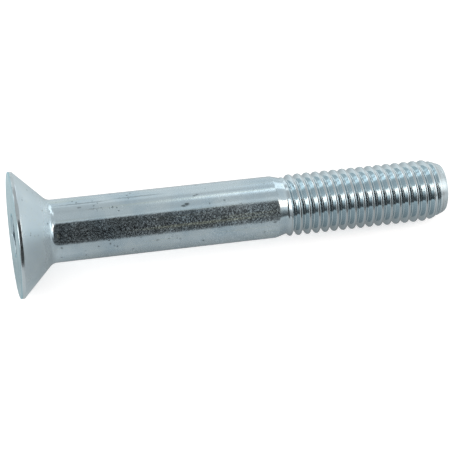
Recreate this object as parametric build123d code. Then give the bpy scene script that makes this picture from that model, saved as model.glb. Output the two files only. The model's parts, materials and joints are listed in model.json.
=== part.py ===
"""A metric countersunk socket screw, M10 x 70, lying on its side: one solid, sizes in millimetres.

It is built upright along +Z, with its head face at z = 0 and its point at the top.
Then it is laid down, to rest on the rim of its head and on the crest of its last thread.
"""
from build123d import *
from math import atan2, degrees, radians, sqrt, tan
import os

# The screw as a whole
overall_length = 70.0
shank_radius = 5.0

# Head
head_radius = 9.97
head_angle = 90.0  # whole angle of the cone
rim_height = 0.55
rim_chamfer = 0.2
under_head_fillet = 1.6

# Hexagon socket
across_flats = 6.0
socket_depth = 4.4  # along a corner, down to the cone at the bottom
socket_bottom_angle = 120.0
socket_mouth_angle = 120.0
socket_mouth_margin = 0.06  # how far the mouth's cone reaches past the corners
socket_turn = 45.0  # turn of the flats about the axis

# Thread, right-hand
thread_length = 26.5  # with the point and the run-out
thread_pitch = 1.5
thread_radius = 4.97  # over the crests
thread_depth = 0.89
thread_angle = 60.0
flank_depth = 0.55  # from the crest to where the flank starts to round into the root
crest_width = 0.24
thread_turn = 262.0  # turn of the crest's helix about the axis

# Neck, at the size of the blank before its thread is rolled
neck_radius = 4.52
neck_length = 0.4
shoulder_length = 1.6
shoulder_rounding = 1.0
run_out_length = 1.6

# Point
point_radius = 4.05
point_length = 1.9
end_chamfer = 0.25

# Margins of the cutting bodies
spare_turns = 2  # of thread past each end, which the envelope cuts off
core_gap = 0.12  # between the core and the thread's root
envelope_margin = 0.1  # outside the crests
most_of_an_edge = 0.49  # share of an edge that one rounding may take

# Worked out from the sizes above
corner_radius = across_flats / sqrt(3)
head_height = rim_height + (head_radius - shank_radius) / tan(radians(head_angle / 2))
root_radius = thread_radius - thread_depth
flank_width = flank_depth * tan(radians(thread_angle / 2))
thread_start = overall_length - thread_length
run_out_end = thread_start + run_out_length
shoulder_end = thread_start - neck_length
shoulder_start = shoulder_end - shoulder_length
point_start = overall_length - point_length


def rounded_outline(corners):
    """A closed face on XZ from (radius, height, rounding) corners, each rounded by a tangent arc."""
    points = [Vector(radius, 0, height) for radius, height, rounding in corners]
    starts = []
    ends = []
    edges = []
    for number, point in enumerate(points):
        before = points[number - 1] - point
        after = points[(number + 1) % len(points)] - point
        half_turn = radians(180 - before.get_angle(after)) / 2
        limit = most_of_an_edge * min(before.length, after.length)
        setback = min(corners[number][2] * tan(half_turn), limit)
        starts.append(point + before.normalized() * setback)
        ends.append(point + after.normalized() * setback)
        if setback > 0:
            edges.append(TangentArc(starts[-1], ends[-1], tangent=before * -1))
    for number, start in enumerate(starts):
        edges.append(Line(ends[number - 1], start))
    return Face(Wire.combine(edges)[0])


def turned(corners):
    """The solid that a rounded outline sweeps about the axis."""
    return revolve(rounded_outline(corners), Axis.Z)


def blank():
    """Head, plain shank and neck, and under the run-out a core that narrows to below the root."""
    core_radius = root_radius - core_gap
    core_end = run_out_end + thread_pitch
    return turned(
        [
            (0, 0, 0),
            (head_radius - rim_chamfer, 0, 0),
            (head_radius, rim_chamfer, 0),
            (head_radius, rim_height, 0),
            (shank_radius, head_height, under_head_fillet),
            (shank_radius, shoulder_start, shoulder_rounding),
            (neck_radius, shoulder_end, 0),
            (neck_radius, thread_start, 0),
            (core_radius, run_out_end, 0),
            (core_radius, core_end, 0),
            (0, core_end, 0),
        ]
    )


def envelope():
    """What bounds the thread's crests: the run-out's cone, a wider cylinder and the point."""
    outside = thread_radius + envelope_margin
    run_out_slope = (thread_radius - neck_radius) / run_out_length
    point_slope = (thread_radius - point_radius) / (point_length - end_chamfer)
    return turned(
        [
            (0, thread_start, 0),
            (neck_radius, thread_start, 0),
            (outside, thread_start + (outside - neck_radius) / run_out_slope, 0),
            (outside, point_start - envelope_margin / point_slope, 0),
            (point_radius, overall_length - end_chamfer, 0),
            (point_radius - end_chamfer, overall_length, 0),
            (0, overall_length, 0),
        ]
    )


def threaded_rod():
    """A solid rod whose side is the thread: faces ruled between helices, one turn to a face.

    Each end is closed by a face ruled from the axis to the crest's helix and by a flat step.
    """
    profile = [
        (thread_radius, 0),
        (thread_radius, crest_width),
        (thread_radius - flank_depth, crest_width + flank_width),
        (root_radius, (crest_width + thread_pitch) / 2),
        (thread_radius - flank_depth, thread_pitch - flank_width),
        (thread_radius, thread_pitch),
    ]

    def helix(radius, height):
        return Edge.make_helix(thread_pitch, thread_pitch, radius, center=(0, 0, height))

    rod_start = thread_start - spare_turns * thread_pitch
    turns = int(thread_length / thread_pitch) + 2 * spare_turns
    rod_end = rod_start + turns * thread_pitch
    faces = []
    for turn in range(turns):
        height = rod_start + turn * thread_pitch
        for (first_radius, low), (second_radius, high) in zip(profile, profile[1:]):
            first = helix(first_radius, height + low)
            second = helix(second_radius, height + high)
            faces.append(Face.make_surface_from_curves(first, second))
    for height in (rod_start, rod_end):
        axis = Edge.make_line((0, 0, height), (0, 0, height + thread_pitch))
        faces.append(Face.make_surface_from_curves(axis, helix(thread_radius, height)))
        step = [(radius, 0, height + rise) for radius, rise in profile]
        step += [(0, 0, height + thread_pitch), (0, 0, height)]
        faces.append(Face(Wire.make_polygon(step)))
    return Rot(Z=thread_turn) * Solid(Shell(faces))


def socket():
    """The hexagon with a cone at its bottom and a shallow wider one at its mouth."""
    bottom_slope = 1 / tan(radians(socket_bottom_angle / 2))
    mouth_slope = 1 / tan(radians(socket_mouth_angle / 2))
    mouth_radius = corner_radius + socket_mouth_margin
    tip = socket_depth + corner_radius * bottom_slope
    hexagon = RegularPolygon(across_flats / 2, 6, major_radius=False, rotation=socket_turn)
    drill = turned(
        [
            (0, 0, 0),
            (mouth_radius, 0, 0),
            (mouth_radius, tip - mouth_radius * bottom_slope, 0),
            (0, tip, 0),
        ]
    )
    mouth = turned([(0, 0, 0), (mouth_radius, 0, 0), (0, mouth_radius * mouth_slope, 0)])
    return (extrude(hexagon, tip) & drill) + mouth


def laid_down(screw):
    """The screw on its side, its rim and its last crest on z = 0, its outer box over the origin."""
    slope = degrees(atan2(head_radius - thread_radius, point_start - rim_height))
    lying = Rot(Y=90 + slope) * screw
    box = lying.bounding_box()
    return Pos(-box.center().X, -box.center().Y, -box.min.Z) * lying


thread = threaded_rod() & envelope()
screw = laid_down(blank() + thread - socket())
os.makedirs("parts", exist_ok=True)
export_step(screw, "parts/screw.step")
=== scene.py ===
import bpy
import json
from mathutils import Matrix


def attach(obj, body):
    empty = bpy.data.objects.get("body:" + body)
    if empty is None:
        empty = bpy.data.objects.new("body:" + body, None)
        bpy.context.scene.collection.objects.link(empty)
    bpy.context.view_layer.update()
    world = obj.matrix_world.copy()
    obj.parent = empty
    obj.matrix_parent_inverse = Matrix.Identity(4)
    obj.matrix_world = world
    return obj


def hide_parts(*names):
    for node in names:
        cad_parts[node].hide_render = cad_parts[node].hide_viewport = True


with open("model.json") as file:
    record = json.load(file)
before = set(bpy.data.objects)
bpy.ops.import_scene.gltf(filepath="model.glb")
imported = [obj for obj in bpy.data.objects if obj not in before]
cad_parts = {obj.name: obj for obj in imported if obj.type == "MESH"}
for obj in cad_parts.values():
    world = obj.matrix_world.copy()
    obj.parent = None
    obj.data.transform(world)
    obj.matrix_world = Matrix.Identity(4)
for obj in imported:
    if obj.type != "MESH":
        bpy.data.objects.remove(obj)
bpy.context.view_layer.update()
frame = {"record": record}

import json
import bpy
import numpy as np
from mathutils import Vector

# shared helpers

millimetre = 0.001


def linearColor(hexText, alpha=1.0):
    # sRGB hex to linear: c / 12.92 below 0.04045, else ((c + 0.055) / 1.055) ^ 2.4
    values = [int(hexText[k:k + 2], 16) / 255 for k in (1, 3, 5)]
    return [c / 12.92 if c <= 0.04045 else ((c + 0.055) / 1.055) ** 2.4 for c in values] + [alpha]


def addNode(tree, kind, settings=None, links=None):
    # one shader node with its settings and its links, given as {input name or number: output socket}
    node = tree.nodes.new("ShaderNode" + kind)
    for name, value in (settings or {}).items():
        if isinstance(name, str) and hasattr(node, name):
            setattr(node, name, value)
        else:
            node.inputs[name].default_value = value
    for name, socket in (links or {}).items():
        tree.links.new(socket, node.inputs[name])
    return node


def smoothStep(x, low, high):
    # 0 below low, 1 above high, t * t * (3 - 2 t) between
    t = np.clip((x - low) / (high - low), 0, 1)
    return t * t * (3 - 2 * t)


def smoothLeast(a, b, width):
    # least of two arrays: b + (a - b) * mix, less width * mix * (1 - mix) to round the corner, where mix
    # grows from 0 to 1 as b - a grows from -width to width
    mix = np.clip(0.5 + 0.5 * (b - a) / width, 0, 1)
    return b + (a - b) * mix - width * mix * (1 - mix)


def plainMesh(name, points, faces):
    # a named mesh of the given points and faces, put into the scene
    mesh = bpy.data.meshes.new(name)
    mesh.from_pydata(np.asarray(points).tolist(), [], [list(face) for face in faces])
    mesh.update()
    thing = bpy.data.objects.new(name, mesh)
    bpy.context.scene.collection.objects.link(thing)
    return thing


# where the screw lies: the middle of the socket's mouth, the axis towards the point, sideways and down

socketMount = next(mount for mount in frame["record"]["mounts"] if mount["name"] == "hexagon_socket")
mouth = np.array(socketMount["pos_m"])
axis = -np.array(socketMount["axis"]) / np.linalg.norm(socketMount["axis"])
side = np.array([0.0, 1.0, 0.0])
down = np.cross(side, axis)


def screwPlace(station, radius, angle):
    # metres: mouth + axis * station + radius * (down * cos(angle) + side * sin(angle))
    station, radius, angle = (part[..., None] for part in np.broadcast_arrays(station, radius, angle))
    outwards = down * np.cos(angle) + side * np.sin(angle)
    return mouth + (axis * station + outwards * radius) * millimetre


# the screw

screwSettings = {  # millimetres and degrees, stations run from the head's face to the point
    "columns": 96,  # points round the axis, from straight down towards +Y
    "acrossFlats": 6.0,
    "flatTurn": 75.0,  # angle of the middle of one of the hexagon's flats
    "socketDepth": 4.4,
    "socketBottomAngle": 60.0,  # from the axis
    "mouthRadius": 3.524,
    "mouthAngle": 60.0,  # from the axis
    "headRadius": 9.958,
    "rimHeight": 0.62,
    "faceEdgeRadius": 0.19,
    "coneEdgeRadius": 0.26,
    "coneAngle": 45.0,  # from the axis
    "filletRadius": 1.6,
    "shankRadius": 4.97,
    "shoulderStart": 41.5,
    "shoulderEnd": 43.1,
    "shoulderRounding": 1.0,
    "neckRadius": 4.52,
    "length": 69.97,
    "threadStart": 42.9,  # the first ridge stands on the shoulder
    "ridgeRunOut": 1.2,  # length in which the ridge grows to its full height
    "grooveRunOut": (43.1, 44.0),  # where the groove sets in and reaches its full depth
    "pitch": 1.5,
    "flankAngle": 30.0,
    "crestRadius": 4.95,  # over the crests
    "crestFlat": 0.04,  # half the width of the crest's flat
    "crestRounding": 0.22,
    "rootRounding": 0.16,
    "crestStation": 44.03,  # a crest on the lowest line of the lying screw
    "pointStart": 67.3,
    "pointRadius": 3.93,
    "pointLean": (0.2, 0.1, 134.0),  # the chamfer is cut off centre: shift of its start and radius, angle
    "pointBlend": 0.08,  # rounds the crests into the chamfer
    "pointRounding": 0.28,
    "sharpAngle": 44.0,  # edges that turn more are shaded sharp
    # rows of points: shares of the way out over the socket's bottom, up its wall and in over the end face
    "bottomRows": (0.06, 0.2, 0.4, 0.6, 0.8, 0.93, 0.985, 1.0),
    "wallRows": (0.97, 0.75, 0.5, 0.25, 0.06, 0.0),
    "endRows": (0.985, 0.93, 0.8, 0.55, 0.3, 0.1),
    "mouthRows": 9,
    "threadRows": 711,  # about 40 to a pitch
    "rowSpacing": 1.0,  # on long straight stretches
    "rowGap": 0.03,  # least gap to the next stretch's first row
    "lastRow": 0.12,  # from the last of the thread's rows to the end
    "mouthLip": 0.04,  # from the mouth's edge to the face's first row
    "arcSteps": 7,  # points on a rounded corner
    "profileSteps": 12,  # points on each arc of the thread's profile
    # finish of the zones: station, roughness, haze, grain, wear
    "finish": [
        (0.0, 0.12, 0.03, 0.3, 0.0),  # the face
        (0.02, 0.15, 0.04, 0.4, 0.2),
        (0.12, 0.17, 0.03, 0.5, 0.55),  # the rubbed rim
        (0.5, 0.17, 0.03, 0.5, 0.55),
        (0.7, 0.29, 0.12, 0.7, 0.1),  # the cone, matt from the heading die
        (4.2, 0.30, 0.12, 0.7, 0.1),
        (4.9, 0.14, 0.05, 0.6, 0.0),
        (6.5, 0.11, 0.08, 1.0, 0.0),  # the shank, bright drawn, a little duller towards the thread
        (15.0, 0.11, 0.09, 1.0, 0.0),
        (28.0, 0.16, 0.15, 1.0, 0.0),
        (41.0, 0.17, 0.165, 1.0, 0.0),
        (42.2, 0.12, 0.03, 0.3, 0.0),
        (43.5, 0.11, 0.01, 0.1, 0.0),  # the thread, burnished by the rolling dies
        (68.0, 0.11, 0.01, 0.1, 0.0),
        (69.0, 0.28, 0.05, 0.5, 0.3),  # the point's chamfer and its end, matt
        (70.0, 0.3, 0.08, 0.5, 0.3),
    ],
    "crestFinish": (0.24, 0.0, 0.3, 0.75),
    "crestBand": (0.0, 0.035),  # depths between which the crests' matt finish ends
    "socketFinish": (0.2, 0.05, 0.5, 0.0),
}


def roundedLine(corners, steps):
    # a polyline of (station, radius, rounding) with every corner replaced by its tangent arc:
    # the setback is rounding * tan(turn / 2), and the arc is slerped between the two tangents' normals
    longest = 0.49  # share of a stretch that one corner may take
    least = 1e-6  # setback under which a corner stays
    points = np.array([corner[:2] for corner in corners], float)
    out = [points[0]]
    for k in range(1, len(points) - 1):
        a = points[k - 1] - points[k]
        b = points[k + 1] - points[k]
        lengthA, lengthB = np.linalg.norm(a), np.linalg.norm(b)
        a, b = a / lengthA, b / lengthB
        turn = np.pi - np.arccos(np.clip(a @ b, -1, 1))
        setback = min(corners[k][2] * np.tan(turn / 2), longest * lengthA, longest * lengthB)
        if setback < least:
            out.append(points[k])
            continue
        radius = setback / np.tan(turn / 2)
        bisector = (a + b) / np.linalg.norm(a + b)
        centre = points[k] + bisector * radius / np.cos(turn / 2)
        first = (points[k] + a * setback - centre) / radius
        last = (points[k] + b * setback - centre) / radius
        t = np.linspace(0, 1, steps)[:, None]
        arc = (np.sin((1 - t) * turn) * first + np.sin(t * turn) * last) / np.sin(turn)
        out.extend(centre + arc * radius)
    out.append(points[-1])
    return np.array(out)


def socketRows(s, angle):
    # radius to the hexagon = half across flats / cos(angle from the nearest flat's middle); the bottom is
    # a cone down to the axis, and the mouth a cone that cuts the hexagon's corners
    fold = (angle - np.radians(s["flatTurn"])) % (np.pi / 3)
    hexagon = s["acrossFlats"] / 2 / np.cos(np.minimum(fold, np.pi / 3 - fold))
    bottomSlope = 1 / np.tan(np.radians(s["socketBottomAngle"]))
    mouthSlope = 1 / np.tan(np.radians(s["mouthAngle"]))
    tip = s["socketDepth"] + s["acrossFlats"] / np.sqrt(3) * bottomSlope
    mouthDepth = (s["mouthRadius"] - s["acrossFlats"] / 2) * mouthSlope
    wallEnd, wallStart = tip - hexagon * bottomSlope, mouthDepth + s["rowGap"]
    rows = [(tip - hexagon * share * bottomSlope, hexagon * share) for share in s["bottomRows"]]
    rows += [(wallStart + (wallEnd - wallStart) * share, hexagon) for share in s["wallRows"]]
    rows += [(depth, np.maximum(hexagon, s["mouthRadius"] - depth / mouthSlope))
             for depth in np.linspace(mouthDepth, 0, s["mouthRows"])]
    return rows


def turnedLine(s):
    # head, shank, shoulder and neck as one rounded line of (station, radius), the same at every angle
    headHeight = s["rimHeight"] + (s["headRadius"] - s["shankRadius"]) / np.tan(np.radians(s["coneAngle"]))
    return roundedLine([
        (0, s["mouthRadius"] + s["mouthLip"], 0),
        (0, s["headRadius"], s["faceEdgeRadius"]),
        (s["rimHeight"], s["headRadius"], s["coneEdgeRadius"]),
        (headHeight, s["shankRadius"], s["filletRadius"]),
        (s["shoulderStart"], s["shankRadius"], s["shoulderRounding"]),
        (s["shoulderEnd"], s["neckRadius"], s["shoulderRounding"]),
        (s["length"], s["neckRadius"], 0),
    ], s["arcSteps"])


def turnedRows(s, line):
    # the line's points up to the thread, with more of them where it runs straight for long
    rows = []
    for here, there in zip(line[:-1], line[1:]):
        steps = max(1, int(np.linalg.norm(there - here) / s["rowSpacing"]))
        rows += [tuple(here + (there - here) * step / steps) for step in range(steps)]
    return [row for row in rows if row[0] < s["threadStart"] - s["rowGap"]]


def threadProfile(s):
    # half a pitch of the 60 degree profile as (distance from the crest's middle, depth under the crest):
    # a flat and an arc over the crest, a straight flank, an arc in the root
    slope = np.radians(90 - s["flankAngle"])
    crest, root = s["crestRounding"], s["rootRounding"]
    t = np.linspace(0, slope, s["profileSteps"])
    crestX, crestY = s["crestFlat"] + crest * np.sin(t), crest * (1 - np.cos(t))
    rootX = s["pitch"] / 2 - root * np.sin(t[::-1])
    flankEnd = crestY[-1] + (rootX[0] - crestX[-1]) * np.tan(slope)
    rootY = flankEnd + root * (np.cos(t[::-1]) - np.cos(slope))
    return np.r_[0, crestX, rootX], np.r_[0, crestY, rootY]


def threadRows(s, angle, line):
    # radius = the ridge's top less the profile's depth at this station and angle, where the crest's
    # station grows by one pitch a turn; ridge and groove grow out of the turned line, and the chamfer
    # and the rounded edge of the point cut them. The third array is 1 on the crests
    across, deep = threadProfile(s)
    station = np.linspace(s["threadStart"], s["length"] - s["lastRow"], s["threadRows"])[:, None]
    away = (station - s["crestStation"] - s["pitch"] * angle / (2 * np.pi)) % s["pitch"]
    depth = np.interp(np.minimum(away, s["pitch"] - away), across, deep)
    plain = np.interp(station, line[:, 0], line[:, 1])
    ridge = smoothStep(station, s["threadStart"], s["threadStart"] + s["ridgeRunOut"])
    groove = smoothStep(station, *s["grooveRunOut"])
    top = plain + (s["crestRadius"] - plain) * ridge
    bottom = plain + (s["crestRadius"] - deep[-1] - plain) * groove
    radius = top - (top - np.minimum(bottom, top)) * depth / deep[-1]
    startLean, radiusLean, leanAngle = s["pointLean"]
    lean = np.cos(angle - np.radians(leanAngle))
    pointStart, pointRadius = s["pointStart"] + startLean * lean, s["pointRadius"] + radiusLean * lean
    along = (station - pointStart) / (s["length"] - pointStart)
    chamfer = s["crestRadius"] - (s["crestRadius"] - pointRadius) * along
    nose = s["pointRounding"]
    inside = np.clip(station - (s["length"] - nose), 0, nose)
    radius = smoothLeast(radius, chamfer, s["pointBlend"]) - (nose - np.sqrt(nose * nose - inside * inside))
    crest = (1 - smoothStep(depth, *s["crestBand"])) * groove
    return station + 0 * angle, radius, crest


def skinFaces(rows, n):
    # squares between neighbouring rows, closed round the axis, and a fan of triangles at either end, whose
    # middles are the last two points
    i, j = np.meshgrid(np.arange(rows - 1), np.arange(n), indexing="ij")
    k = (j + 1) % n
    squares = np.stack([i * n + j, i * n + k, (i + 1) * n + k, (i + 1) * n + j], -1).reshape(-1, 4)
    here = np.arange(n)
    there = (here + 1) % n
    first = np.stack([np.full(n, rows * n), there, here], -1)
    last = np.stack([np.full(n, rows * n + 1), (rows - 1) * n + here, (rows - 1) * n + there], -1)
    return squares.tolist() + first.tolist() + last.tolist()


def zoneFinish(s, stations, crests, socketCount):
    # roughness, haze, grain and wear of every point: straight lines between the zones by station, the
    # socket's own in its rows, mixed with the crests' by their share; an end's middle has its ring's mean
    table = np.array(s["finish"])
    finish = np.stack([np.interp(stations, table[:, 0], column) for column in table[:, 1:].T], -1)
    finish[:socketCount] = s["socketFinish"]
    finish = finish + (np.array(s["crestFinish"]) - finish) * crests[:, :, None]
    return np.vstack([finish.reshape(-1, 4), finish[0].mean(0), finish[-1].mean(0)])


def buildScrew(s):
    # one skin of rows over all the angles: from the socket's bottom out over its mouth, the head, the
    # shank and the thread, and in over the end face. Each point keeps its finish for the material
    n = s["columns"]
    angle = 2 * np.pi * np.arange(n) / n
    line = turnedLine(s)
    socket, turned = socketRows(s, angle), turnedRows(s, line)
    threadStation, threadRadius, threadCrest = threadRows(s, angle, line)
    end = [(s["length"], threadRadius[-1] * share) for share in s["endRows"]]
    before, after = (np.array([[part + 0 * angle for part in row] for row in rows])
                     for rows in (socket + turned, end))
    stations = np.vstack([before[:, 0], threadStation, after[:, 0]])
    radii = np.vstack([before[:, 1], threadRadius, after[:, 1]])
    crests = np.vstack([0 * before[:, 0], threadCrest, 0 * after[:, 0]])
    bottom = stations[0].mean() + radii[0].mean() / np.tan(np.radians(s["socketBottomAngle"]))
    points = np.vstack([screwPlace(stations, radii, angle).reshape(-1, 3),
                        screwPlace(bottom, 0, 0), screwPlace(s["length"], 0, 0)])
    screw = plainMesh("screwBody", points, skinFaces(len(stations), n))
    screw.data.shade_smooth()
    screw.data.set_sharp_from_angle(angle=np.radians(s["sharpAngle"]))
    zones = screw.data.attributes.new("finish", "FLOAT_COLOR", "POINT")
    zones.data.foreach_set("color", zoneFinish(s, stations, crests, len(socket)).reshape(-1))
    print("screw", len(points), "points", len(screw.data.polygons), "faces")
    return screw


# its material

zincSettings = {  # sizes and stations in millimetres, angles in degrees
    "base": "#B7C7CE",
    "blueTint": "#9DB4C1",
    "strawTint": "#BCC6B4",
    "wearTint": "#AAB0B2",
    "pitColor": "#5A666B",
    "paintedLiftTint": "#C3D2D8",  # painted light: a lighter tint on the forged head and the rolled thread, lifting the shade in the thread's grooves and on the head's cone
    "edgeTint": "#E6EBEC",  # what the metal reflects at a grazing angle
    "faceTint": "#B4D6DE",  # the same on the head's face
    # noise patterns: the coordinates that they read, width of a spot, detail, roughness
    "noises": {
        "grain": ("object", 0.24, 2.0, 0.6),  # a real coat's is ten times finer: drawn coarser, to show
        "mottle": ("object", 2.2, 3.0, 0.5),
        "cloud": ("object", 4.5, 3.0, 0.5),
        "lines": ("drawn", 0.45, 1.0, 0.5),  # left lengthwise by drawing the wire
        "bend": ("axis", 0.45, 2.0, 0.5),  # bends the outlines of the marks
    },
    "lineStretch": 40,  # how much longer than wide the drawn lines are
    "bendReach": 0.3,
    # what a pattern gives: the values that it runs between, and what they are turned into
    "blueOverCloud": {"From Min": 0.42, "From Max": 0.66, "To Max": 0.6},
    "strawOverLines": {"From Min": 0.58, "From Max": 0.72, "To Max": 0.25},
    "pitsOverMottle": {"From Min": 0.46, "From Max": 0.62, "To Max": 0.26},
    "fleckOverGrain": {"From Min": 0.42, "From Max": 0.67, "To Max": 2.6},
    "hazeOverMottle": {"From Min": 0.35, "From Max": 0.65, "To Min": 0.7, "To Max": 1.3},
    "roughOverMottle": {"From Min": 0.35, "From Max": 0.65, "To Min": -0.02, "To Max": 0.03},
    # the same along the screw, by station
    # painted light: where the lighter tint lies on the thread and on the head
    "paintedLiftThread": {"From Min": 42.4, "From Max": 43.6, "To Max": 0.9},
    "paintedLiftHead": {"From Min": 5.6, "From Max": 4.4, "To Max": 0.4},
    "pastFace": {"From Min": 0.1, "From Max": 0.3},
    "pitSpacing": 0.62,
    "pitRadius": 0.21,
    "pitCore": 0.3,  # share of its radius to which a pit is at its darkest
    "pitStrength": 0.85,
    "pitRoughness": 0.3,  # added in a pit
    "strawHaze": 0.14,  # added on a straw mark
    # heights against the grain's, and how strongly and deeply they show
    "lineHeight": 0.4,
    "pitHeight": -2.0,
    "bumpStrength": 0.35,
    "bumpDepth": 0.02,
    # marks: station, angle, half length, half width, and strength, which is the share of cells with a
    # pit in a cluster
    "pitClusters": [
        (14.2, 190, 3.4, 1.0, 1.1), (14.5, 259, 3.4, 0.9, 0.5), (29.5, 184, 2.2, 0.8, 0.5),
        (24.0, 262, 4.5, 0.6, 0.4),
    ],
    "stains": [
        (26.3, 202.6, 0.5, 0.26, 0.9), (26.9, 200.4, 0.5, 0.26, 0.95), (28.3, 183.6, 0.4, 0.22, 0.7),
        (28.8, 182, 0.4, 0.22, 0.75), (15.2, 190.5, 0.3, 0.2, 0.7), (15.9, 192, 0.28, 0.16, 0.7),
        (12.6, 189, 1.6, 0.16, 0.35), (10.2, 183, 0.4, 0.25, 0.6), (10.8, 173, 5.4, 0.2, 0.5),
        (19.5, 170, 5.4, 0.2, 0.5), (38.4, 248.4, 0.3, 0.2, 0.7), (40.7, 251.6, 0.35, 0.2, 0.7),
        (21.8, 262, 0.3, 0.2, 0.7),
    ],
    "strawMarks": [(29.0, 237, 14.0, 0.3, 0.7), (36.5, 231, 7.0, 0.3, 0.4), (6.4, 232, 0.3, 0.6, 0.5)],
    "markRadius": screwSettings["shankRadius"],
    "markCore": 0.45,  # share of its reach to which a mark is at its strongest
}


def markShare(tree, place, marks, z):
    # the strongest of some long spots: each fades out as length((place - middle) / half sizes) nears 1
    most = None
    for station, angle, halfLength, halfWidth, strength in marks:
        spot = screwPlace(station, z["markRadius"], np.radians(angle))
        middle = np.array([spot @ axis, spot @ side, -spot @ down])
        scale = 1 / (np.array([halfLength, halfWidth, halfWidth]) * millimetre)
        local = addNode(tree, "Mapping", {"Scale": scale.tolist(), "Location": (-middle * scale).tolist()},
                        {"Vector": place})
        away = addNode(tree, "VectorMath", {"operation": "LENGTH"}, {0: local.outputs[0]})
        share = addNode(tree, "MapRange", {"From Min": z["markCore"], "To Min": strength, "To Max": 0.0},
                        {"Value": away.outputs["Value"]}).outputs[0]
        if most is not None:
            share = addNode(tree, "Math", {"operation": "MAXIMUM"}, {0: most, 1: share}).outputs[0]
        most = share
    return most


def brightZincPlate(z):
    # steel with a bright electroplated zinc coat, passivated blue: a pale blue-grey mirror, broken by a
    # fine grain with a thin white haze, with small dark pits and faint straw lines along the drawn wire
    material = bpy.data.materials.new("brightZincPlateBluePassivated")
    material.use_nodes = True
    tree = material.node_tree
    shader = tree.nodes["Principled BSDF"]

    # coordinates: the object's own, turned level along the axis, and shrunk along it for the drawn lines
    place = {"object": addNode(tree, "TexCoord").outputs["Object"]}
    place["axis"] = addNode(tree, "Mapping", {"Rotation": (0, np.arcsin(axis[2]), 0)},
                            {"Vector": place["object"]}).outputs[0]
    place["drawn"] = addNode(tree, "Mapping", {"Scale": (1 / z["lineStretch"], 1, 1)},
                             {"Vector": place["axis"]}).outputs[0]
    along = addNode(tree, "SeparateXYZ", None, {0: place["axis"]}).outputs[0]
    station = addNode(tree, "Math", {"operation": "MULTIPLY_ADD", 1: 1 / millimetre,
                                     2: -mouth @ axis / millimetre}, {0: along}).outputs[0]
    zone = addNode(tree, "Attribute", {"attribute_name": "finish"})
    parts = addNode(tree, "SeparateColor", None, {"Color": zone.outputs["Color"]})
    roughZone, hazeZone, grainZone = parts.outputs
    noise = {}
    for name, (where, width, detail, roughness) in z["noises"].items():
        noise[name] = addNode(tree, "TexNoise", {"Scale": 1 / (width * millimetre), "Detail": detail,
                                                 "Roughness": roughness}, {"Vector": place[where]})
    grain, mottle, cloud, lines = (noise[name].outputs[0] for name in ("grain", "mottle", "cloud", "lines"))

    # marks at fixed places, their outlines bent by a noise
    shift = addNode(tree, "VectorMath", {"operation": "SUBTRACT", 1: (0.5, 0.5, 0.5)},
                    {0: noise["bend"].outputs["Color"]})
    bent = addNode(tree, "VectorMath", {"operation": "MULTIPLY_ADD", 1: (z["bendReach"] * millimetre,) * 3},
                   {0: shift.outputs[0], 2: place["axis"]}).outputs[0]
    cluster = markShare(tree, bent, z["pitClusters"], z)
    stain = markShare(tree, bent, z["stains"], z)
    strawMark = markShare(tree, bent, z["strawMarks"], z)

    # pits: spots round the points of a cell pattern, in some of its cells, where the mottle is high
    cells = addNode(tree, "TexVoronoi", {"Scale": 1 / (z["pitSpacing"] * millimetre)}, {"Vector": bent})
    draw = addNode(tree, "SeparateColor", None, {0: cells.outputs["Color"]})
    patch = addNode(tree, "MapRange", z["pitsOverMottle"], {"Value": mottle})
    share = addNode(tree, "Math", {"operation": "MAXIMUM"}, {0: patch.outputs[0], 1: cluster})
    chosen = addNode(tree, "Math", {"operation": "LESS_THAN"}, {0: draw.outputs[0], 1: share.outputs[0]})
    edge = z["pitRadius"] / z["pitSpacing"]
    spot = addNode(tree, "MapRange", {"From Min": edge * z["pitCore"], "From Max": edge,
                                      "To Min": z["pitStrength"], "To Max": 0.0},
                   {"Value": cells.outputs["Distance"]})
    pits = addNode(tree, "Math", {"operation": "MULTIPLY"}, {0: spot.outputs[0], 1: chosen.outputs[0]})
    pits = addNode(tree, "Math", {"operation": "MAXIMUM"}, {0: pits.outputs[0], 1: stain})
    pits = addNode(tree, "Math", {"operation": "MULTIPLY"}, {0: pits.outputs[0], 1: grainZone}).outputs[0]

    # colour: blue clouds on the base, and over them by turns the painted light of the lighter zones, straw,
    # wear and pits;
    # a Mix node takes colours in its sockets 6 and 7 and gives one in its output 2
    blue = addNode(tree, "MapRange", z["blueOverCloud"], {"Value": cloud})
    color = addNode(tree, "Mix", {"data_type": "RGBA", 6: linearColor(z["base"]),
                                  7: linearColor(z["blueTint"])}, {0: blue.outputs[0]})
    # painted light: the lighter tint over the thread and the head
    thread = addNode(tree, "MapRange", z["paintedLiftThread"], {"Value": station})
    head = addNode(tree, "MapRange", z["paintedLiftHead"], {"Value": station})
    paintedLift = addNode(tree, "Math", {"operation": "MAXIMUM"}, {0: thread.outputs[0], 1: head.outputs[0]})
    straw = addNode(tree, "MapRange", z["strawOverLines"], {"Value": lines})
    straw = addNode(tree, "Math", {"operation": "MULTIPLY"}, {0: straw.outputs[0], 1: grainZone})
    straw = addNode(tree, "Math", {"operation": "MAXIMUM"}, {0: straw.outputs[0], 1: strawMark})
    for tint, cover in (("paintedLiftTint", paintedLift.outputs[0]), ("strawTint", straw.outputs[0]),
                        ("wearTint", zone.outputs["Alpha"]), ("pitColor", pits)):
        color = addNode(tree, "Mix", {"data_type": "RGBA", 7: linearColor(z[tint])},
                        {0: cover, 6: color.outputs[2]})
    tree.links.new(color.outputs[2], shader.inputs["Base Color"])
    past = addNode(tree, "MapRange", z["pastFace"], {"Value": station})
    grazing = addNode(tree, "Mix", {"data_type": "RGBA", 6: linearColor(z["faceTint"]),
                                    7: linearColor(z["edgeTint"])}, {0: past.outputs[0]})
    tree.links.new(grazing.outputs[2], shader.inputs["Specular Tint"])

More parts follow.
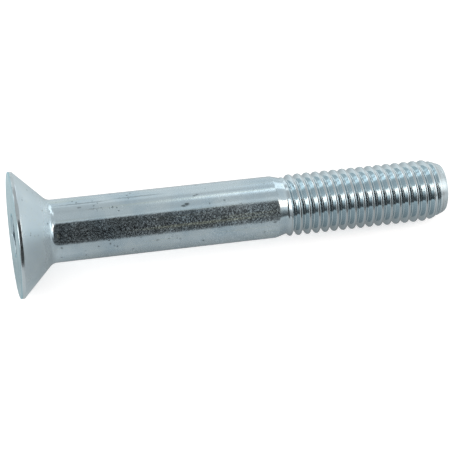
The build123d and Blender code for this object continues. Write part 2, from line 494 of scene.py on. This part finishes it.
    # haze: a share of white scatter in place of the mirror, broken up by the grain and the mottle
    flecks = addNode(tree, "MapRange", z["fleckOverGrain"], {"Value": grain})
    spread = addNode(tree, "MapRange", z["hazeOverMottle"], {"Value": mottle})
    haze = addNode(tree, "Math", {"operation": "MULTIPLY"}, {0: flecks.outputs[0], 1: spread.outputs[0]})
    haze = addNode(tree, "Math", {"operation": "MULTIPLY"}, {0: haze.outputs[0], 1: hazeZone})
    haze = addNode(tree, "Math", {"operation": "MULTIPLY_ADD", 1: z["strawHaze"]},
                   {0: strawMark, 2: haze.outputs[0]})
    mirror = addNode(tree, "Math", {"operation": "SUBTRACT", 0: 1.0}, {1: haze.outputs[0]})
    tree.links.new(mirror.outputs[0], shader.inputs["Metallic"])

    rough = addNode(tree, "MapRange", z["roughOverMottle"], {"Value": mottle})
    rough = addNode(tree, "Math", {"operation": "ADD"}, {0: rough.outputs[0], 1: roughZone})
    rough = addNode(tree, "Math", {"operation": "MULTIPLY_ADD", 1: z["pitRoughness"]},
                    {0: pits, 2: rough.outputs[0]})
    tree.links.new(rough.outputs[0], shader.inputs["Roughness"])

    height = addNode(tree, "Math", {"operation": "MULTIPLY_ADD", 1: z["lineHeight"]}, {0: lines, 2: grain})
    height = addNode(tree, "Math", {"operation": "MULTIPLY"}, {0: height.outputs[0], 1: grainZone})
    height = addNode(tree, "Math", {"operation": "MULTIPLY_ADD", 1: z["pitHeight"]},
                     {0: pits, 2: height.outputs[0]})
    bump = addNode(tree, "Bump", {"Strength": z["bumpStrength"], "Distance": z["bumpDepth"] * millimetre},
                   {"Height": height.outputs[0]})
    tree.links.new(bump.outputs[0], shader.inputs["Normal"])
    print("zinc plate", len(tree.nodes), "nodes")
    return material


screw = buildScrew(screwSettings)
screw.data.materials.append(brightZincPlate(zincSettings))
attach(screw, "root")
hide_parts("screw")

# floor and daylight

floorSettings = {
    "half": 1.6,  # metres
    "color": "#F2F2F2",
    "lift": 0.5,  # white that it adds where a camera, a gloss or a glass looks at it
    "daylight": 0.58,  # strength of the white all round, which is 1 where they look at it
}


def whiteRays(tree):
    # 1 for camera, glossy and transmission rays
    path = addNode(tree, "LightPath")
    either = addNode(tree, "Math", {"operation": "MAXIMUM"},
                     {0: path.outputs["Is Camera Ray"], 1: path.outputs["Is Glossy Ray"]})
    return addNode(tree, "Math", {"operation": "MAXIMUM"},
                   {0: either.outputs[0], 1: path.outputs["Is Transmission Ray"]}).outputs[0]


def emptyMaterial(name):
    # a named material with no nodes yet
    material = bpy.data.materials.new(name)
    material.use_nodes = True
    material.node_tree.nodes.clear()
    return material


def buildFloor(s):
    # one white matt square, clear from below
    h = s["half"]
    floor = plainMesh("floor", [(-h, -h, 0), (h, -h, 0), (h, h, 0), (-h, h, 0)], [(0, 1, 2, 3)])
    material = emptyMaterial("whitePaperFloor")
    tree = material.node_tree
    diffuse = addNode(tree, "BsdfDiffuse", {"Color": linearColor(s["color"])})
    lift = addNode(tree, "Math", {"operation": "MULTIPLY", 1: s["lift"]}, {0: whiteRays(tree)})
    glow = addNode(tree, "Emission", None, {"Strength": lift.outputs[0]})
    both = addNode(tree, "AddShader", None, {0: diffuse.outputs[0], 1: glow.outputs[0]})
    clear = addNode(tree, "BsdfTransparent")
    facing = addNode(tree, "NewGeometry")
    mix = addNode(tree, "MixShader", None,
                  {0: facing.outputs["Backfacing"], 1: both.outputs[0], 2: clear.outputs[0]})
    addNode(tree, "OutputMaterial", None, {"Surface": mix.outputs[0]})
    floor.data.materials.append(material)


def buildDaylight(s):
    # a world that lights all round by the daylight's strength and looks plain white
    world = bpy.data.worlds.new("studio")
    bpy.context.scene.world = world
    world.use_nodes = True
    tree = world.node_tree
    tree.nodes.clear()
    strength = addNode(tree, "MapRange", {"To Min": s["daylight"]}, {"Value": whiteRays(tree)})
    back = addNode(tree, "Background", {"Color": (1, 1, 1, 1)}, {"Strength": strength.outputs[0]})
    addNode(tree, "OutputWorld", None, {"Surface": back.outputs[0]})


buildFloor(floorSettings)
buildDaylight(floorSettings)
print("floor and daylight built")

# lamps

lampSettings = {
    "distance": 0.9,  # metres from the middle
    # azimuth from +X towards +Y and elevation in degrees, width and height in metres, radiance, colour
    "lamps": {
        "backSoftbox": (47, 41, 0.24, 0.32, 0.95, "#FFFFFF"),
        "rightBackSoftbox": (58, 24, 0.36, 0.3, 0.8, "#FFFFFF"),
        "rightSoftbox": (-10, 18, 0.5, 0.3, 1.0, "#FFFFFF"),
        "farSoftbox": (99, 32, 0.22, 0.5, 0.5, "#FFFFFF"),
        "frontSoftbox": (-29, 37, 0.26, 0.42, 3.1, "#FFE2D0"),
        "leftSoftbox": (-128, 40, 0.62, 0.6, 1.9, "#FFFFFF"),
        "sideSoftbox": (-170, 19, 0.3, 0.44, 2.4, "#FFFFFF"),
        "leftBackSoftbox": (148, 13, 0.2, 0.2, 2.0, "#FFFFFF"),
    },
}


def buildLamps(s):
    # softboxes that face the middle; the power of one with a given radiance is radiance * area * pi
    for name, (azimuth, elevation, width, height, radiance, color) in s["lamps"].items():
        a, e = np.radians(azimuth), np.radians(elevation)
        place = Vector((np.cos(a) * np.cos(e), np.sin(a) * np.cos(e), np.sin(e))) * s["distance"]
        lamp = bpy.data.lights.new(name, "AREA")
        lamp.shape = "RECTANGLE"
        lamp.size, lamp.size_y = width, height
        lamp.energy = radiance * width * height * np.pi
        lamp.color = linearColor(color)[:3]
        thing = bpy.data.objects.new(name, lamp)
        thing.location = place
        thing.rotation_euler = (-place).to_track_quat("-Z", "Y").to_euler()
        thing.visible_camera = False
        bpy.context.scene.collection.objects.link(thing)


buildLamps(lampSettings)
print("lamps built", len(lampSettings["lamps"]))

# cards that only reflections see: they glow with painted reflections, painted shade and painted highlights


def gridFaces(rows, columns):
    # the squares of a grid whose points are numbered row by row
    i, j = np.meshgrid(np.arange(rows - 1), np.arange(columns - 1), indexing="ij")
    k = i * columns + j
    return np.stack([k, k + 1, k + columns + 1, k + columns], -1).reshape(-1, 4).tolist()


def between(x, pairs):
    # straight lines between pairs of (place, value)
    return np.interp(x, *zip(*pairs))


def window(x, low, high, soft):
    # 1 between low and high, with edges 2 * soft wide
    return smoothStep(x, low - soft, low + soft) * (1 - smoothStep(x, high - soft, high + soft))


def paintedReflectionCard(name, points, tone, cover):
    # a grid card that only reflections see, glowing with painted light: it shows the tone where cover is 1,
    # and nothing where it is 0
    card = plainMesh(name, points.reshape(-1, 3), gridFaces(*tone.shape))
    attribute = card.data.attributes.new("tone", "FLOAT_COLOR", "POINT")
    attribute.data.foreach_set("color", np.stack([tone, tone, tone, cover], -1).reshape(-1))
    material = emptyMaterial(name)
    tree = material.node_tree
    read = addNode(tree, "Attribute", {"attribute_name": "tone"})
    # painted light: the card glows with its tone
    glow = addNode(tree, "Emission", None, {"Color": read.outputs["Color"]})
    clear = addNode(tree, "BsdfTransparent")
    mix = addNode(tree, "MixShader", None,
                  {0: read.outputs["Alpha"], 1: clear.outputs[0], 2: glow.outputs[0]})
    addNode(tree, "OutputMaterial", None, {"Surface": mix.outputs[0]})
    card.data.materials.append(material)
    card.visible_camera = False
    card.visible_diffuse = False
    card.visible_shadow = False
    card.visible_transmission = False


paintedRoomSettings = {  # painted reflections of a room, glowing on a card: metres, degrees and tones, where 1 is white; azimuth runs towards +X
    "radius": 0.3,
    "elevations": (-5, 176),  # 0 in front, 90 overhead, a point at every degree
    "azimuths": (-80, 78),
    "paintedDarkFlag": (-17.0, 45.6),  # painted shade: a dark flag in front that only reflections see: azimuths of its sides
    "flagTop": ((-10, 73.5), (9, 73), (13, 71), (18, 69.5), (27, 69.5), (44, 55)),  # top edge by azimuth
    "flagTopFade": (-3, 4),
    "paintedDarkFlagTone": ((0, 0.05), (15, 0.045), (24, 0.02), (36, 0.02), (46, 0.045), (60, 0.05)),  # the dark flag's painted shade, by elevation
    "flagPaler": (9.0, 14.0, 0.035),  # paler on the right: from azimuth, to azimuth, by how much
    "sideSoft": 2.5,
    "paintedLightSkirt": (63.0, 40.0, 0.2, 1.6),  # painted light right of the dark flag, dark below and glowing above white at its top: right end, top, tone below and at the top
    "skirtTopFade": (-4, 4),
    "wallFade": ((-60, 30, 60), (-40, 6, 50)),  # painted shade, a low wall on the left: azimuth, fades from, fades to
    "wallStart": (-80, -72),
    "paintedWallTone": 0.4,
    "ceilingEdge": 80.0,  # a painted grey ceiling: its near edge, its far edge by azimuth, its sides
    "ceilingTop": ((16, 136), (22, 121)),
    "ceilingEdgeFade": (-8, 2),
    "ceilingTopFade": (-4, 4),
    "ceilingSides": ((-76, -60), (36, 52)),
    "ceilingTone": (0.6, 0.73, -30, 5),  # on the left and on the right, from azimuth, to azimuth
    # painted highlights: bright strips that glow along the ceiling, soft at their edges: elevation, reach,
    # tone by azimuth
    "paintedHighlightStrips": [
        (115.0, 6.0, ((-62, 0.6), (-50, 1.5), (-36, 1.8), (-16, 1.8), (-6, 0.9), (-2, 0.66), (5, 0.66),
                      (8.7, 0.7), (10.8, 0.85), (12.6, 1.5), (16, 2.3), (19, 2.3), (24, 0.8))),
        (80.5, 2.6, ((3, 0.6), (9, 0.62), (12, 0.9), (15, 1.15), (24, 1.15), (34, 0.85))),
    ],
    "stripBend": (-10, 0.019),  # left of this azimuth they bend back, by this times the square of the rest
}


def buildPaintedRoom(s):
    # the painted room, a card of painted reflections: part of a cylinder round the X axis, over elevation
    # and azimuth. A painted highlight strip mixes its tone into the ceiling's by exp(-(distance / reach) ^
    # 2), the painted shade of flag and wall and the skirt's painted light replace it, and cover is the sum
    # of all four
    e, a = np.meshgrid(*(np.arange(low, high + 1.0) for low, high in (s["elevations"], s["azimuths"])),
                       indexing="ij")
    turn, rise = np.radians(a), np.radians(e)
    points = np.stack([np.tan(turn), -np.cos(rise), np.sin(rise)], -1) * s["radius"]
    soft, (left, right) = s["sideSoft"], s["paintedDarkFlag"]

    top = between(a, s["flagTop"])
    # painted shade: the dark flag's cover
    paintedDarkFlag = window(a, left, right, soft) * (1 - smoothStep(e, *(top + fade for fade in s["flagTopFade"])))
    start, stop, paler = s["flagPaler"]
    paintedDarkFlagTone = between(e, s["paintedDarkFlagTone"]) + paler * smoothStep(a, start, stop)

    end, top, lowTone, highTone = s["paintedLightSkirt"]
    # painted light: the skirt's cover and tone, glowing above white at its top
    paintedLightSkirt = window(a, right, end, soft) * (1 - smoothStep(e, *(top + fade for fade in s["skirtTopFade"])))
    paintedLightSkirtTone = lowTone + (highTone - lowTone) * smoothStep(e, 0, top)

    fadeAt, fadeFrom, fadeTo = zip(*s["wallFade"])
    # painted shade: the low wall's cover
    paintedShadeWall = 1 - smoothStep(e, np.interp(a, fadeAt, fadeFrom), np.interp(a, fadeAt, fadeTo))
    paintedShadeWall = paintedShadeWall * (1 - smoothStep(a, left - soft, left + soft)) * smoothStep(a, *s["wallStart"])

    top, (start, stop) = between(a, s["ceilingTop"]), s["ceilingSides"]
    # a painted reflection of a grey ceiling
    paintedCeiling = smoothStep(e, *(s["ceilingEdge"] + fade for fade in s["ceilingEdgeFade"]))
    paintedCeiling = paintedCeiling * (1 - smoothStep(e, *(top + fade for fade in s["ceilingTopFade"])))
    paintedCeiling = paintedCeiling * smoothStep(a, *start) * (1 - smoothStep(a, *stop))
    leftTone, rightTone, start, stop = s["ceilingTone"]
    tone = leftTone + (rightTone - leftTone) * smoothStep(a, start, stop)
    bendFrom, bend = s["stripBend"]
    # painted highlights: the bright strips
    for place, reach, line in s["paintedHighlightStrips"]:
        distance = e - place - bend * np.clip(bendFrom - a, 0, None) ** 2
        tone = tone + (between(a, line) - tone) * np.exp(-(distance / reach) ** 2)

    # the painted room's tones and cover
    tone = tone * (1 - paintedDarkFlag - paintedShadeWall - paintedLightSkirt) + paintedDarkFlagTone * paintedDarkFlag + s["paintedWallTone"] * paintedShadeWall + paintedLightSkirtTone * paintedLightSkirt
    paintedReflectionCard("paintedRoomCard", points, tone, np.clip(paintedDarkFlag + paintedShadeWall + paintedLightSkirt + paintedCeiling, 0, 1))


paintedFloorSettings = {  # painted reflection of the floor, glowing on a card: metres and tones, where 1 is white
    "height": 0.0001,  # above the floor
    # tone by y: painted shadow under the screw, and painted shade far in front
    "tone": ((-0.3, 0.15), (-0.12, 0.06), (-0.1, 0.06), (-0.058, 0.6), (-0.012, 0.6), (-0.004, 0.42),
             (-0.001, 0.33), (0.003, 0.33), (0.009, 0.62), (0.02, 0.7), (0.04, 1.0), (0.2, 1.0)),
    # painted light: brighter by this share near the head, by y, fading out between two places along x
    "paintedHeadLight": ((-0.02, 0.6), (-0.012, 0.6), (-0.004, 0.77), (-0.001, 0.95), (0.003, 0.9), (0.009, 0.2)),
    "headFade": (-0.04, -0.02),
    "paintedSheenTone": 1.25,  # painted sheen, glowing brighter than white beyond the point, fading in between two places along x and along y
    "farFade": (0.02, 0.1),
    "farFront": (-0.085, -0.045),
    # rows of points: along y from the middle out with growing steps, along x close together in the middle
    "rows": ((0.001, 0.6, 60), (0.001, 0.2, 40)),
    "columns": ((-0.8, -0.1, 20), (-0.09, 0.09, 61), (0.1, 0.8, 20)),
}


def buildPaintedFloor(s):
    # a flat card on the floor that only reflections see, with painted shadow, painted light and painted
    # sheen: tone = tone by y, mixed with the sheen's tone, times 1 + the head's share of painted light
    front, back = (np.geomspace(*row) for row in s["rows"])
    y = np.r_[-front[::-1], 0, back]
    x = np.concatenate([np.linspace(*column) for column in s["columns"]])
    y, x = np.meshgrid(y, x, indexing="ij")
    # painted shadow under the screw and painted shade in front
    tone = between(y, s["tone"])
    # painted sheen beyond the point
    tone = tone + (s["paintedSheenTone"] - tone) * smoothStep(x, *s["farFade"]) * smoothStep(y, *s["farFront"])
    # painted light near the head
    tone = tone * (1 + between(y, s["paintedHeadLight"]) * (1 - smoothStep(x, *s["headFade"])))
    paintedReflectionCard("paintedFloorCard", np.stack([x, y, np.full_like(x, s["height"])], -1), tone, np.ones_like(tone))


buildPaintedRoom(paintedRoomSettings)
buildPaintedFloor(paintedFloorSettings)
print("cards built")

# camera

cameraSettings = {  # degrees and metres
    "azimuth": -12.493,
    "elevation": 47.586,
    "distance": 0.255557,
    "target": (-0.000417, 0.002124, 0.001812),
    "focal": 1566.0,  # in pixels of a picture 452 wide
    "width": 452,
    "sensor": 36,  # millimetres
    "nearest": 0.01,
}


def buildCamera(c):
    # the camera stands at target + distance * (direction of azimuth and elevation) and looks back
    turn, rise = np.radians(c["azimuth"]), np.radians(c["elevation"])
    back = Vector((np.sin(turn) * np.cos(rise), -np.cos(turn) * np.cos(rise), np.sin(rise)))
    data = bpy.data.cameras.new("camera")
    data.sensor_width = c["sensor"]
    data.lens = c["sensor"] * c["focal"] / c["width"]
    data.clip_start = c["nearest"]
    camera = bpy.data.objects.new("camera", data)
    camera.location = Vector(c["target"]) + back * c["distance"]
    camera.rotation_euler = (-back).to_track_quat("-Z", "Y").to_euler()
    bpy.context.scene.collection.objects.link(camera)
    bpy.context.scene.camera = camera


buildCamera(cameraSettings)
bpy.context.scene.view_settings.view_transform = "Standard"
print("camera placed")
